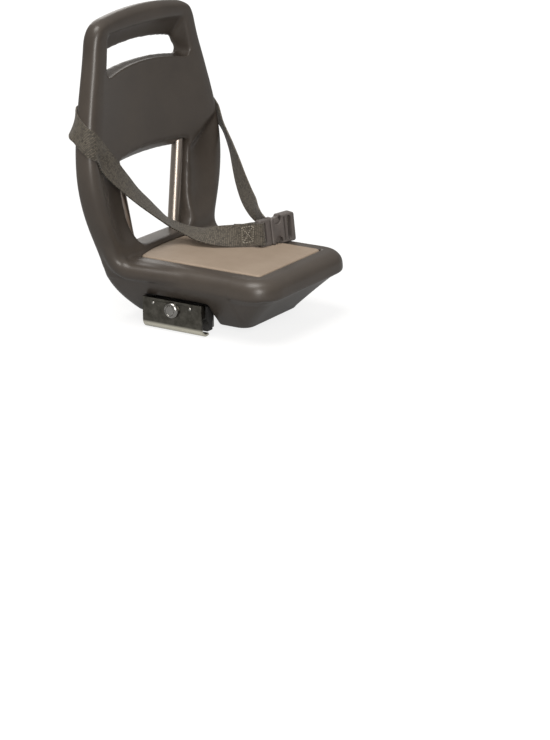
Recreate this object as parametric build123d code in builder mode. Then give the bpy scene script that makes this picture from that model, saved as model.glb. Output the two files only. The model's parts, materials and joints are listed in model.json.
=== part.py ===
# Child seat for the rear carrier of a bicycle.
# A one-piece foam shell with a carrying handle sits on a steel cross plate,
# which two rail clamps hold on the carrier. A lap belt with a side-release
# buckle goes round the back.
# Frame: X forward, Y to the rider's left, Z up. The origin lies midway between
# the two carrier rails, at the height of their centres, on the bolts' line.
import os
from math import cos, radians, sin

from build123d import *

os.makedirs("parts", exist_ok=True)

# Seat part of the shell
underside_height = -2.5
underside_half_width = 55.0
underside_front = 80.0
underside_rear = -74.0
underside_corner = 14.0
belly_height = 16.0
belly_half_width = 72.0
belly_rear = -87.0
belly_corner = 20.0
crease_height = 45.0
crease_half_width = 92.0
crease_front = 129.0
crease_rear = -92.0
front_corner = 32.0
rear_corner = 8.0
seat_top = 66.0
shoulder_radius = 14.0

# Back of the shell, measured along its leaning front face
back_foot_x = -57.3
back_lean = 5.7
rear_foot_x = -89.3
rear_lean = 4.3
back_height = 343.0
crown_drop = 8.5
crown_inset = 44.0
shoulder_drop = 34.0
shoulder_inset = 18.5
shoulder_slope = -0.27
chest_share = 0.54
chest_swell = 2.0
widest_height = 160.0
widest_swell = 13.5
flare_swell = 26.0
flare_height = 105.0
waist_height = 68.0
waist_inset = 16.5
waist_slope = 0.42
rim_radius = 10.0
rear_rim_radius = 11.0
corner_rim_bend = 26.0
corner_rim_top = 118.0
corner_rim_sink = 4.0
corner_rim_front = 60.0

# Carrying handle: a grip hole that narrows towards the rear
grip_front_half_width = 86.0
grip_front_drop = 29.0
grip_front_height = 47.0
grip_front_rise = 7.0
grip_rear_half_width = 81.0
grip_rear_drop = 49.0
grip_rear_height = 22.0
grip_rear_rise = 8.0
grip_lean = 10.0
grip_bottom_rise = 8.0
grip_front_corner = 9.0
grip_rear_corner = 4.5
grip_edge = 4.5
rear_edge = 3.0

# Lower opening behind the child's hips
opening_bottom = 72.0
opening_front_foot = 53.0
opening_front_head = 74.0
opening_front_top = 178.0
opening_rear_foot = 58.0
opening_rear_head = 68.0
opening_rear_top = 166.0
opening_rise = 8.0
opening_bottom_corner = 22.0
opening_top_corner = 9.0
opening_edge = 5.0

# Dished back panel and the hollows in the two columns
panel_depth = 9.0
panel_head = 90.0
panel_foot = 120.0
panel_low = 150.0
hollow_radius = 60.0
hollow_depth = 10.0
hollow_top_half_width = 86.0
hollow_top = 180.0
hollow_low_half_width = 71.0
hollow_low = 112.0
hollow_crease_low = (68.0, 174.0)
hollow_crease_high = (124.0, 199.0)
hollow_roof = (110.0, 178.0)

# Seat pad, let into the seat
pad_front = 103.0
pad_rear = -57.0
pad_rear_bow = 9.0
pad_half_width = 66.0
pad_corner = 6.0
pad_thickness = 6.0
pad_proud = 0.8
pad_clearance = 0.4
pad_edge = 2.0

# Stainless tube that stiffens the back
tube_diameter = 14.0
tube_wall = 1.5
tube_clearance = 0.15
tube_head = (-97.9, 77.8)
tube_drop = 2.0
tube_waist = (-88.5, 45.4, 76.0)
tube_heel = (-74.0, 37.0, 44.0)
tube_toe = (50.0, 34.0, 42.0)
tube_waist_bend = 40.0
tube_heel_bend = 30.0
tube_toe_bend = 24.0

# Carrier rails and their clamps
rail_radius = 8.0
rail_half_spacing = 78.0
clamp_length = 80.0
plate_thickness = 2.5
plate_top = 27.0
lip_angle = 118.0
tab_length = 12.0
tab_depth = 7.0
flange_depth = 6.0
jaw_length = 76.0
jaw_depth = 7.0
jaw_wrap = 55.0
jaw_top = 22.0
bolt_height = 16.5
bolt_diameter = 8.0
bolt_clearance = 0.3
bolt_head_diameter = 19.0
bolt_head_height = 4.6
bolt_neck = 3.5
bolt_tail = 3.0
nut_across_flats = 13.0
nut_height = 8.0
nut_collar = 2.2
clamp_washer_diameter = 16.0
clamp_washer_thickness = 1.6
thread_clearance = 0.05
pip_spacing = 50.0
pip_rise = 5.0
pip_radius = 2.2

# Cross plate in the channel of the underside
channel_height = 28.0
channel_clearance = 3.0
web_thickness = 3.0
ear_bottom = -4.0
screw_spacing_x = 52.0
screw_spacing_y = 104.0
screw_diameter = 6.0
screw_clearance = 0.25
screw_head_diameter = 11.0
screw_head_height = 3.6
screw_length = 18.0
base_washer_diameter = 14.0
base_washer_thickness = 1.2
insert_diameter = 9.0
insert_length = 16.0
insert_clearance = 0.1

# Lap belt and its keeper
belt_width = 25.0
belt_thickness = 1.6
belt_gap = 0.4
belt_drop = 32.0
belt_fall = 8.0
keeper_width = 30.0
keeper_margin = 9.0
keeper_thickness = 2.0
keeper_slack = 0.4
keeper_screw_diameter = 4.0
keeper_screw_length = 12.0
keeper_head_diameter = 7.5
keeper_head_height = 2.2

# Side-release buckle, standing on its edge on the pad
buckle_foot_x = 40.0
buckle_foot_y = 34.0
buckle_turn = 74.6
buckle_width = 31.0
buckle_thickness = 11.0
buckle_gap = 0.4
plug_length = 16.0
plug_bar = 4.0
plug_slot = 5.0
plug_rim = 2.5
plug_thickness = 8.0
prong_length = 15.5
prong_width = 3.2
prong_thickness = 5.6
prong_offset = 7.6
barb_reach = 6.4
barb_start = 7.0
barb_length = 6.0
guide_width = 4.0
guide_length = 14.0
socket_length = 36.0
socket_wall = 2.2
window_radius = 6.0
window_inset = 3.4
socket_bar = 5.4
socket_slot = 6.5
socket_middle_bar = 3.0
socket_lock_slot = 2.4
buckle_edge = 1.4

# Planes and places that several pieces share
def leaning_plane(foot_x, lean):
    """Plane across the seat that leans back, with Y and the height along it as its axes."""
    return Plane(
        origin=(foot_x, 0, 0), x_dir=(0, 1, 0), z_dir=(cos(radians(lean)), 0, sin(radians(lean)))
    )


flare_half_width = crease_half_width + flare_swell
waist_half_width = flare_half_width - waist_inset
widest_half_width = flare_half_width + widest_swell
chest_half_width = flare_half_width + chest_swell
shoulder_half_width = flare_half_width - shoulder_inset
crown_half_width = flare_half_width - crown_inset
crown_height = back_height - crown_drop
shoulder_height = back_height - shoulder_drop
chest_height = widest_height + chest_share * (shoulder_height - widest_height)
grip_front_top = back_height - grip_front_drop
grip_front_bottom = grip_front_top - grip_front_height
grip_rear_top = back_height - grip_rear_drop
grip_rear_bottom = grip_rear_top - grip_rear_height
belt_height = grip_rear_bottom - belt_drop
back_front = leaning_plane(back_foot_x, back_lean)
back_rear = leaning_plane(rear_foot_x, rear_lean)
pad_top = seat_top + pad_proud
rail_outer = rail_half_spacing + rail_radius
jaw_inner = rail_half_spacing - rail_radius - jaw_depth
ear_inner = jaw_inner - web_thickness
web_bottom = channel_height - web_thickness
pocket_floor = pad_top - pad_thickness
keeper_screw_spacing = belt_width + 2 * keeper_slack + keeper_margin
keeper_height = keeper_screw_spacing + keeper_margin
buckle_middle = pad_top + belt_gap + buckle_width / 2
buckle_plane = Plane(
    origin=(buckle_foot_x, buckle_foot_y, buckle_middle),
    x_dir=(cos(radians(buckle_turn)), sin(radians(buckle_turn)), 0),
    z_dir=(sin(radians(buckle_turn)), -cos(radians(buckle_turn)), 0),
)
bevel_share = belly_height / crease_height
belly_front = underside_front + (crease_front - underside_front) * bevel_share


def arched_outline(bottom, top, half_bottom, half_top, rise_bottom, rise_top):
    """Four-sided outline, the same on both sides, with arched top and bottom edges."""
    ThreePointArc((-half_bottom, bottom), (0, bottom + rise_bottom), (half_bottom, bottom))
    Line((half_bottom, bottom), (half_top, top))
    ThreePointArc((half_top, top), (0, top + rise_top), (-half_top, top))
    Line((-half_top, top), (-half_bottom, bottom))


def pad_outline():
    """Plan outline of the pad, with a bowed rear edge."""
    Polyline(
        (pad_rear, -pad_half_width), (pad_front, -pad_half_width),
        (pad_front, pad_half_width), (pad_rear, pad_half_width),
    )
    ThreePointArc(
        (pad_rear, -pad_half_width), (pad_rear - pad_rear_bow, 0), (pad_rear, pad_half_width)
    )


# The seat part: a bevelled bowl below the crease and a low block above it
seat_levels = (
    (
        underside_height, underside_front, underside_rear, underside_half_width,
        underside_corner, underside_corner,
    ),
    (belly_height, belly_front, belly_rear, belly_half_width, belly_corner, underside_corner),
    (crease_height, crease_front, crease_rear, crease_half_width, front_corner, rear_corner),
)
with BuildPart() as seat_base:
    for height, front, rear, half_width, front_radius, rear_radius in seat_levels:
        with BuildSketch(Plane.XY.offset(height)) as level:
            with Locations(((front + rear) / 2, 0)):
                Rectangle(front - rear, 2 * half_width)
            fillet(level.vertices().group_by(Axis.X)[-1], front_radius)
            fillet(level.vertices().group_by(Axis.X)[0], rear_radius)
    loft()
    extrude(level.sketch, amount=seat_top - crease_height)
    fillet(seat_base.faces().sort_by(Axis.Z)[-1].edges(), shoulder_radius)

# The back: an upright plate with a rounded rim, flared above the waist
with BuildPart() as back_plate:
    with BuildSketch(back_front):
        with BuildLine():
            waist = (waist_half_width, waist_height)
            shoulder = (shoulder_half_width, shoulder_height)
            crown = (crown_half_width, crown_height)
            Line((0, crease_height), (crease_half_width, crease_height))
            Line((crease_half_width, crease_height), waist)
            Spline(
                waist,
                (flare_half_width, flare_height),
                (widest_half_width, widest_height),
                (chest_half_width, chest_height),
                shoulder,
                tangents=[(waist_slope, 1), (shoulder_slope, 1)],
            )
            TangentArc(shoulder, crown, tangent=(shoulder_slope, 1))
            crown_middle = (crown_half_width / 2, crown_height + 0.75 * (back_height - crown_height))
            ThreePointArc(crown, crown_middle, (0, back_height))
            mirror(about=Plane.YZ)
        make_face()
    extrude(amount=2 * (rear_foot_x - back_foot_x))
    split(bisect_by=back_rear, keep=Keep.TOP)
    above_seat = Axis.Z, crease_height + 1, 2 * back_height
    front_face = back_plate.faces().filter_by(back_front).sort_by(Axis.X)[-1]
    fillet(front_face.edges().filter_by_position(*above_seat), rim_radius)
    rear_face = back_plate.faces().filter_by(back_rear).sort_by(Axis.X)[0]
    fillet(rear_face.edges().filter_by_position(*above_seat), rear_rim_radius)
    # The grip hole of the handle
    grip_front = grip_front_bottom, grip_front_top, grip_front_half_width, grip_front_rise
    grip_rear = grip_rear_bottom, grip_rear_top, grip_rear_half_width, grip_rear_rise
    for plane, (bottom, top, half, rise), corner in (
        (back_front, grip_front, grip_front_corner),
        (back_rear, grip_rear, grip_rear_corner),
    ):
        with BuildSketch(plane) as grip:
            with BuildLine():
                arched_outline(bottom, top, half, half - grip_lean, grip_bottom_rise, rise)
            make_face()
            fillet(grip.vertices(), corner)
    loft(mode=Mode.SUBTRACT)
    # The lower opening between the columns
    for plane, top, foot, head in (
        (back_front, opening_front_top, opening_front_foot, opening_front_head),
        (back_rear, opening_rear_top, opening_rear_foot, opening_rear_head),
    ):
        with BuildSketch(plane) as opening:
            with BuildLine():
                arched_outline(opening_bottom, top, foot, head, 0.01, opening_rise)
            make_face()
            fillet(opening.vertices().group_by(Axis.Y)[0], opening_bottom_corner)
            fillet(opening.vertices().group_by(Axis.Y)[-1], opening_top_corner)
    loft(mode=Mode.SUBTRACT)
    # Rounded edges of both holes, on the front and on the rear face
    front_face = back_plate.faces().filter_by(back_front).sort_by(Axis.X)[-1]
    fillet(front_face.inner_wires().sort_by(Axis.Z)[-1].edges(), grip_edge)
    front_face = back_plate.faces().filter_by(back_front).sort_by(Axis.X)[-1]
    fillet(front_face.inner_wires().sort_by(Axis.Z)[0].edges(), opening_edge)
    rear_face = back_plate.faces().filter_by(back_rear).sort_by(Axis.X)[0]
    fillet([edge for wire in rear_face.inner_wires() for edge in wire.edges()], rear_edge)

# The rim's turn from the back's side into the seat's side, both ends sunk into the moulding
rim_sink = rim_radius + corner_rim_sink
rim_low = seat_top - rim_radius
corner_top_y = flare_half_width + waist_slope * (corner_rim_top - flare_height) - rim_sink
corner_top = back_front.from_local_coords((corner_top_y, corner_rim_top, -rim_sink))
corner_heel = back_front.from_local_coords((waist_half_width - rim_radius, rim_low, -rim_radius))
corner_front_y = crease_half_width - shoulder_radius
corner_front_z = seat_top - shoulder_radius
with BuildPart() as corner_rim:
    with BuildLine() as corner_path:
        FilletPolyline(
            corner_top, corner_heel, (corner_rim_front, corner_front_y, corner_front_z),
            radius=corner_rim_bend,
        )
    with BuildSketch(Plane(corner_path.line @ 0, z_dir=corner_path.line % 0)):
        Circle(rim_radius)
    sweep()

# The tool for the hollow in the left column
hollow_rise = hollow_radius - hollow_depth
hollow_foot = back_front.from_local_coords((hollow_low_half_width, hollow_low, hollow_rise))
hollow_head = back_front.from_local_coords((hollow_top_half_width, hollow_top, hollow_rise))
roof_high = back_front.from_local_coords((*hollow_crease_high, 0))
roof_low = back_front.from_local_coords((*hollow_crease_low, 0))
roof_deep = back_front.from_local_coords((*hollow_roof, -hollow_depth))
roof_normal = (roof_high - roof_low).cross(roof_deep - roof_low)
with BuildPart() as hollow:
    with BuildSketch(Plane(hollow_foot, z_dir=hollow_head - hollow_foot)):
        Circle(hollow_radius)
    extrude(amount=(hollow_head - hollow_foot).length + hollow_radius)
    with Locations(hollow_foot):
        Sphere(hollow_radius)
    split(bisect_by=Plane(roof_low, z_dir=roof_normal), keep=Keep.BOTTOM)
    split(bisect_by=Plane.XY.offset(pad_top), keep=Keep.TOP)

# The tube's line: down one leg, under the seat and up the other leg
tube_left = [(*tube_head, belt_height - tube_drop), tube_waist, tube_heel, tube_toe]
tube_points = [(x, -y, z) for x, y, z in tube_left] + tube_left[::-1]
tube_bends = [tube_waist_bend, tube_heel_bend, tube_toe_bend]
with BuildPart() as support_frame:
    with BuildLine() as tube_path:
        FilletPolyline(*tube_points, radius=tube_bends + tube_bends[::-1])
    tube_end = Plane(tube_path.line @ 0, z_dir=tube_path.line % 0)
    with BuildSketch(tube_end):
        Circle(tube_diameter / 2)
        Circle(tube_diameter / 2 - tube_wall, mode=Mode.SUBTRACT)
    sweep()
support_frame.part.label = "support_frame"
export_step(support_frame.part, "parts/support_frame.step")

# The whole moulding, with the hollows and seats cut into it
with BuildPart() as seat_shell:
    add(seat_base.part)
    add(back_plate.part)
    add(corner_rim.part)
    mirror(corner_rim.part, about=Plane.XZ)
    # Dished panel
    panel_high = grip_rear_bottom + grip_bottom_rise
    for height, panel_half_width in ((panel_low, panel_foot), (panel_high, panel_head)):
        dish_middle = back_front.from_local_coords((0, height, 0))
        dish_radius = (panel_half_width**2 + panel_depth**2) / (2 * panel_depth)
        with BuildSketch(Plane(dish_middle, x_dir=(0, 1, 0), z_dir=back_front.y_dir)):
            with Locations((0, panel_depth - dish_radius)):
                Circle(dish_radius)
    loft(mode=Mode.SUBTRACT)
    add(hollow.part, mode=Mode.SUBTRACT)
    mirror(hollow.part, about=Plane.XZ, mode=Mode.SUBTRACT)
    # Pocket for the pad
    with BuildSketch(Plane.XY.offset(pocket_floor)) as pocket:
        with BuildLine():
            pad_outline()
        make_face()
        offset(amount=pad_clearance)
    extrude(amount=pad_thickness, mode=Mode.SUBTRACT)
    # Channel for the clamps, and the sockets of the threaded inserts in its roof
    with BuildSketch(Plane.XY.offset(underside_height)):
        Rectangle(clamp_length + 2 * channel_clearance, 3 * crease_half_width)
    extrude(amount=channel_height - underside_height, mode=Mode.SUBTRACT)
    with BuildSketch(Plane.XY.offset(channel_height)):
        with GridLocations(screw_spacing_x, screw_spacing_y, 2, 2):
            Circle(insert_diameter / 2 + insert_clearance)
    extrude(amount=insert_length, mode=Mode.SUBTRACT)
    # Screw holes of the belt keeper
    with BuildSketch(back_rear):
        with Locations((0, belt_height)):
            with GridLocations(0, keeper_screw_spacing, 1, 2):
                Circle(keeper_screw_diameter / 2 + screw_clearance)
    extrude(amount=keeper_screw_length, mode=Mode.SUBTRACT)
    # Bed of the tube
    with BuildSketch(tube_end):
        Circle(tube_diameter / 2 + tube_clearance)
    sweep(path=tube_path.line, mode=Mode.SUBTRACT)
seat_shell.part.label = "seat_shell"
export_step(seat_shell.part, "parts/seat_shell.step")

with BuildPart() as seat_pad:
    with BuildSketch(Plane.XY.offset(pocket_floor)):
        with BuildLine():
            pad_outline()
        make_face()
    extrude(amount=pad_thickness)
    fillet(seat_pad.edges().filter_by(Axis.Z), pad_corner)
    fillet(seat_pad.faces().sort_by(Axis.Z)[-1].edges(), pad_edge)
seat_pad.part.label = "seat_pad"
export_step(seat_pad.part, "parts/seat_pad.step")

# Steel plate that carries both clamps: a flat web with an ear turned down at each end
with BuildPart() as cross_plate:
    with BuildSketch(Plane.XY.offset(web_bottom)):
        Rectangle(jaw_length, 2 * jaw_inner)
        with GridLocations(screw_spacing_x, screw_spacing_y, 2, 2):
            Circle(screw_diameter / 2 + screw_clearance, mode=Mode.SUBTRACT)
    extrude(amount=web_thickness)
    with BuildSketch(Plane.XY.offset(ear_bottom)):
        with GridLocations(0, jaw_inner + ear_inner, 1, 2):
            Rectangle(jaw_length, web_thickness)
    extrude(amount=channel_height - ear_bottom)
    fillet(cross_plate.edges().filter_by(Axis.X).group_by(Axis.Z)[-1], web_thickness * 0.9)
    with BuildSketch(Plane.XZ):
        with Locations((0, bolt_height)):
            Circle(bolt_diameter / 2 + bolt_clearance)
    extrude(amount=2 * jaw_inner, both=True, mode=Mode.SUBTRACT)
cross_plate.part.label = "cross_plate"
export_step(cross_plate.part, "parts/cross_plate.step")

# Threaded inserts moulded into the channel's roof, with their screws and washers
screw_places = [
    (x * screw_spacing_x / 2, y * screw_spacing_y / 2) for x in (-1, 1) for y in (-1, 1)
]
with BuildPart() as base_inserts:
    with BuildSketch(Plane.XY.offset(channel_height)):
        with Locations(*screw_places):
            Circle(insert_diameter / 2)
            Circle(screw_diameter / 2 + thread_clearance, mode=Mode.SUBTRACT)
    extrude(amount=insert_length)
base_inserts.part.label = "base_inserts"
export_step(base_inserts.part, "parts/base_inserts.step")

washer_bottom = web_bottom - base_washer_thickness
with BuildPart() as base_washers:
    with BuildSketch(Plane.XY.offset(washer_bottom)):
        with Locations(*screw_places):
            Circle(base_washer_diameter / 2)
            Circle(screw_diameter / 2 + screw_clearance, mode=Mode.SUBTRACT)
    extrude(amount=base_washer_thickness)
base_washers.part.label = "base_washers"
export_step(base_washers.part, "parts/base_washers.step")

with BuildPart() as base_screws:
    with BuildSketch(Plane.XY.offset(washer_bottom)):
        with Locations(*screw_places):
            Circle(screw_diameter / 2)
    extrude(amount=screw_length)
    with BuildSketch(Plane.XY.offset(washer_bottom)):
        with Locations(*screw_places):
            Circle(screw_head_diameter / 2)
    extrude(amount=-screw_head_height)
    fillet(base_screws.edges().group_by(Axis.Z)[0], screw_head_height / 2)
    with BuildSketch(Plane.XY.offset(washer_bottom - screw_head_height)):
        with Locations(*screw_places):
            RegularPolygon(screw_diameter / 3, 6)
    extrude(amount=screw_head_height / 2, mode=Mode.SUBTRACT)
base_screws.part.label = "base_screws"
export_step(base_screws.part, "parts/base_screws.step")

# The two rail clamps, the same on both sides
for side, sign in (("right", -1), ("left", 1)):
    plate_face = sign * (rail_outer + plate_thickness)
    bolt_plane = Plane((0, plate_face, bolt_height), x_dir=(1, 0, 0), z_dir=(0, sign, 0))
    bolt_shank = rail_outer + plate_thickness - ear_inner + clamp_washer_thickness
    bolt_length = bolt_shank + nut_height + bolt_tail

    # Outer plate, curled under the rail, with a bent front end and a tab at its top rear
    with BuildPart() as side_plate:
        with BuildSketch(Plane.YZ.offset(-clamp_length / 2)):
            with BuildLine():
                start = 0 if sign > 0 else 180
                sweep_angle = -sign * lip_angle
                outer = rail_radius + plate_thickness
                centre = (sign * rail_half_spacing, 0)
                inner_arc = CenterArc(centre, rail_radius, start, sweep_angle)
                outer_arc = CenterArc(centre, outer, start, sweep_angle)
                Line(inner_arc @ 1, outer_arc @ 1)
                inner_top = (sign * rail_outer, plate_top)
                outer_top = (plate_face, plate_top)
                Line(inner_arc @ 0, inner_top)
                Line(outer_arc @ 0, outer_top)
                Line(inner_top, outer_top)
            make_face()
        extrude(amount=clamp_length)
        flange_bottom = rail_radius + plate_thickness
        with BuildSketch(Plane.YZ.offset(clamp_length / 2 - plate_thickness)):
            with Locations((sign * (rail_outer - flange_depth / 2), (plate_top + flange_bottom) / 2)):
                Rectangle(flange_depth, plate_top - flange_bottom)
        extrude(amount=plate_thickness)
        with BuildSketch(Plane.XY.offset(plate_top - plate_thickness)):
            with Locations(((tab_length - clamp_length) / 2, sign * (rail_outer - tab_depth / 2))):
                Rectangle(tab_length, tab_depth)
        extrude(amount=plate_thickness)
        with BuildSketch(bolt_plane):
            Rectangle(bolt_diameter + 2 * bolt_clearance, bolt_diameter + 2 * bolt_clearance)
        extrude(amount=-plate_thickness, mode=Mode.SUBTRACT)
        with Locations(bolt_plane):
            with Locations((-pip_spacing / 2, pip_rise), (pip_spacing / 2, pip_rise)):
                Sphere(pip_radius)
    side_plate.part.label = f"side_plate_{side}"
    export_step(side_plate.part, f"parts/side_plate_{side}.step")

    # Inner jaw with a round seat for the rail
    with BuildPart() as clamp_jaw:
        jaw_half_height = rail_radius * sin(radians(jaw_wrap))
        jaw_outer = rail_half_spacing - rail_radius * cos(radians(jaw_wrap))
        with BuildSketch(Plane.YZ.offset(-jaw_length / 2)):
            with BuildLine():
                Polyline(
                    (sign * jaw_inner, -jaw_half_height),
                    (sign * jaw_outer, -jaw_half_height),
                    (sign * jaw_outer, jaw_top),
                    (sign * jaw_inner, jaw_top),
                    close=True,
                )
            make_face()
            with Locations((sign * rail_half_spacing, 0)):
                Circle(rail_radius, mode=Mode.SUBTRACT)
        extrude(amount=jaw_length)
        with BuildSketch(bolt_plane):
            Circle(bolt_diameter / 2 + bolt_clearance)
        extrude(amount=-bolt_length, mode=Mode.SUBTRACT)
    clamp_jaw.part.label = f"clamp_jaw_{side}"
    export_step(clamp_jaw.part, f"parts/clamp_jaw_{side}.step")

    # Dome-headed bolt with a square neck that the plate keeps from turning
    with BuildPart() as clamp_bolt:
        with BuildSketch(bolt_plane):
            Circle(bolt_head_diameter / 2)
        extrude(amount=bolt_head_height)
        fillet(clamp_bolt.edges().sort_by(Axis.Y)[0 if sign < 0 else -1], bolt_head_height * 0.9)
        with BuildSketch(bolt_plane):
            Rectangle(bolt_diameter, bolt_diameter)
        extrude(amount=-bolt_neck)
        with BuildSketch(bolt_plane):
            Circle(bolt_diameter / 2)
        extrude(amount=-bolt_length)
    clamp_bolt.part.label = f"clamp_bolt_{side}"
    export_step(clamp_bolt.part, f"parts/clamp_bolt_{side}.step")

    ear_plane = Plane((0, sign * ear_inner, bolt_height), x_dir=(1, 0, 0), z_dir=(0, -sign, 0))
    with BuildPart() as clamp_washer:
        with BuildSketch(ear_plane):
            Circle(clamp_washer_diameter / 2)
            Circle(bolt_diameter / 2 + bolt_clearance, mode=Mode.SUBTRACT)
        extrude(amount=clamp_washer_thickness)
    clamp_washer.part.label = f"clamp_washer_{side}"
    export_step(clamp_washer.part, f"parts/clamp_washer_{side}.step")

    nut_plane = ear_plane.offset(clamp_washer_thickness)
    with BuildPart() as clamp_nut:
        with BuildSketch(nut_plane):
            RegularPolygon(nut_across_flats / 2, 6, major_radius=False)
        extrude(amount=nut_height - nut_collar)
        with BuildSketch(nut_plane.offset(nut_height - nut_collar)):
            Circle(nut_across_flats / 2)
        extrude(amount=nut_collar)
        fillet(clamp_nut.edges().sort_by(Axis.Y)[-1 if sign < 0 else 0], nut_collar / 2)
        with BuildSketch(nut_plane):
            Circle(bolt_diameter / 2 + thread_clearance)
        extrude(amount=nut_height, mode=Mode.SUBTRACT)
    clamp_nut.part.label = f"clamp_nut_{side}"
    export_step(clamp_nut.part, f"parts/clamp_nut_{side}.step")

# Keeper on the back's rear face: a bridge that the belt passes under
bridge_rise = belt_gap + belt_thickness + keeper_slack
with BuildPart() as belt_keeper:
    with BuildSketch(back_rear.offset(-bridge_rise)):
        with Locations((0, belt_height)):
            Rectangle(keeper_width, keeper_height)
    extrude(amount=-keeper_thickness)
    with BuildSketch(back_rear):
        with Locations((0, belt_height)):
            with GridLocations(0, keeper_screw_spacing, 1, 2):
                Rectangle(keeper_width, keeper_margin)
    extrude(amount=-bridge_rise)
    with BuildSketch(back_rear):
        with Locations((0, belt_height)):
            with GridLocations(0, keeper_screw_spacing, 1, 2):
                Circle(keeper_screw_diameter / 2 + screw_clearance)
    extrude(amount=-bridge_rise - keeper_thickness, mode=Mode.SUBTRACT)
belt_keeper.part.label = "belt_keeper"
export_step(belt_keeper.part, "parts/belt_keeper.step")

with BuildPart() as keeper_screws:
    keeper_face = back_rear.offset(-bridge_rise - keeper_thickness)
    with BuildSketch(keeper_face):
        with Locations((0, belt_height)):
            with GridLocations(0, keeper_screw_spacing, 1, 2):
                Circle(keeper_screw_diameter / 2)
    extrude(amount=keeper_screw_length)
    with BuildSketch(keeper_face):
        with Locations((0, belt_height)):
            with GridLocations(0, keeper_screw_spacing, 1, 2):
                Circle(keeper_head_diameter / 2)
    extrude(amount=-keeper_head_height)
    outward = Axis(back_rear.origin, back_rear.z_dir)
    fillet(keeper_screws.edges().group_by(outward)[0], keeper_head_height / 2)
keeper_screws.part.label = "keeper_screws"
export_step(keeper_screws.part, "parts/keeper_screws.step")

# Plug of the buckle: strap bar, collar, two springy prongs and a middle guide
with BuildPart() as buckle_plug:
    with BuildSketch(buckle_plane):
        with Locations((plug_length / 2, 0)):
            RectangleRounded(plug_length, buckle_width, buckle_edge * 2)
        with Locations((plug_bar + plug_slot / 2, 0)):
            SlotOverall(buckle_width - 2 * plug_rim, plug_slot, rotation=90, mode=Mode.SUBTRACT)
    extrude(amount=plug_thickness / 2, both=True)
    with BuildSketch(buckle_plane):
        with Locations((plug_length + guide_length / 2, 0)):
            Rectangle(guide_length, guide_width)
        with BuildLine():
            root = plug_length - buckle_edge
            tip = plug_length + prong_length
            barb_end = plug_length + barb_start + barb_length
            Polyline(
                (root, prong_offset - prong_width / 2),
                (tip, prong_offset - prong_width / 2),
                (tip, prong_offset + prong_width / 2),
                (barb_end, prong_offset + barb_reach),
                (plug_length + barb_start, prong_offset + barb_reach),
                (plug_length + barb_start, prong_offset + prong_width / 2),
                (root, prong_offset + prong_width / 2),
                close=True,
            )
        make_face()
        mirror(about=Plane.XZ)
    extrude(amount=prong_thickness / 2, both=True)
buckle_plug.part.label = "buckle_plug"
export_step(buckle_plug.part, "parts/buckle_plug.step")

# Socket of the buckle: a flat box with a window in each edge and two strap bars at its end
with BuildPart() as buckle_socket:
    socket_start = plug_length + buckle_gap
    socket_end = socket_start + socket_length
    slot_end = socket_end - socket_bar
    lock_slot_end = slot_end - socket_slot - socket_middle_bar
    cavity_end = lock_slot_end - socket_lock_slot - socket_wall
    with BuildSketch(buckle_plane):
        with Locations(((socket_start + socket_end) / 2, 0)):
            RectangleRounded(socket_length, buckle_width, buckle_edge * 2)
    extrude(amount=buckle_thickness / 2, both=True)
    fillet(buckle_socket.faces().filter_by(buckle_plane).edges(), buckle_edge)
    with BuildSketch(buckle_plane):
        with Locations(((socket_start + cavity_end) / 2, 0)):
            Rectangle(cavity_end - socket_start, buckle_width - 2 * socket_wall)
    extrude(amount=buckle_thickness / 2 - socket_wall, both=True, mode=Mode.SUBTRACT)
    with BuildSketch(buckle_plane):
        with Locations((slot_end - socket_slot / 2, 0)):
            SlotOverall(buckle_width - 2 * plug_rim, socket_slot, rotation=90)
        with Locations((lock_slot_end - socket_lock_slot / 2, 0)):
            SlotOverall(buckle_width - 2 * plug_rim, socket_lock_slot, rotation=90)
        window_x = plug_length + barb_start + barb_length / 2
        with GridLocations(0, buckle_width + 2 * (window_radius - window_inset), 1, 2):
            with Locations((window_x, 0)):
                Circle(window_radius)
    extrude(amount=buckle_thickness, both=True, mode=Mode.SUBTRACT)
buckle_socket.part.label = "buckle_socket"
export_step(buckle_socket.part, "parts/buckle_socket.step")

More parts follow.
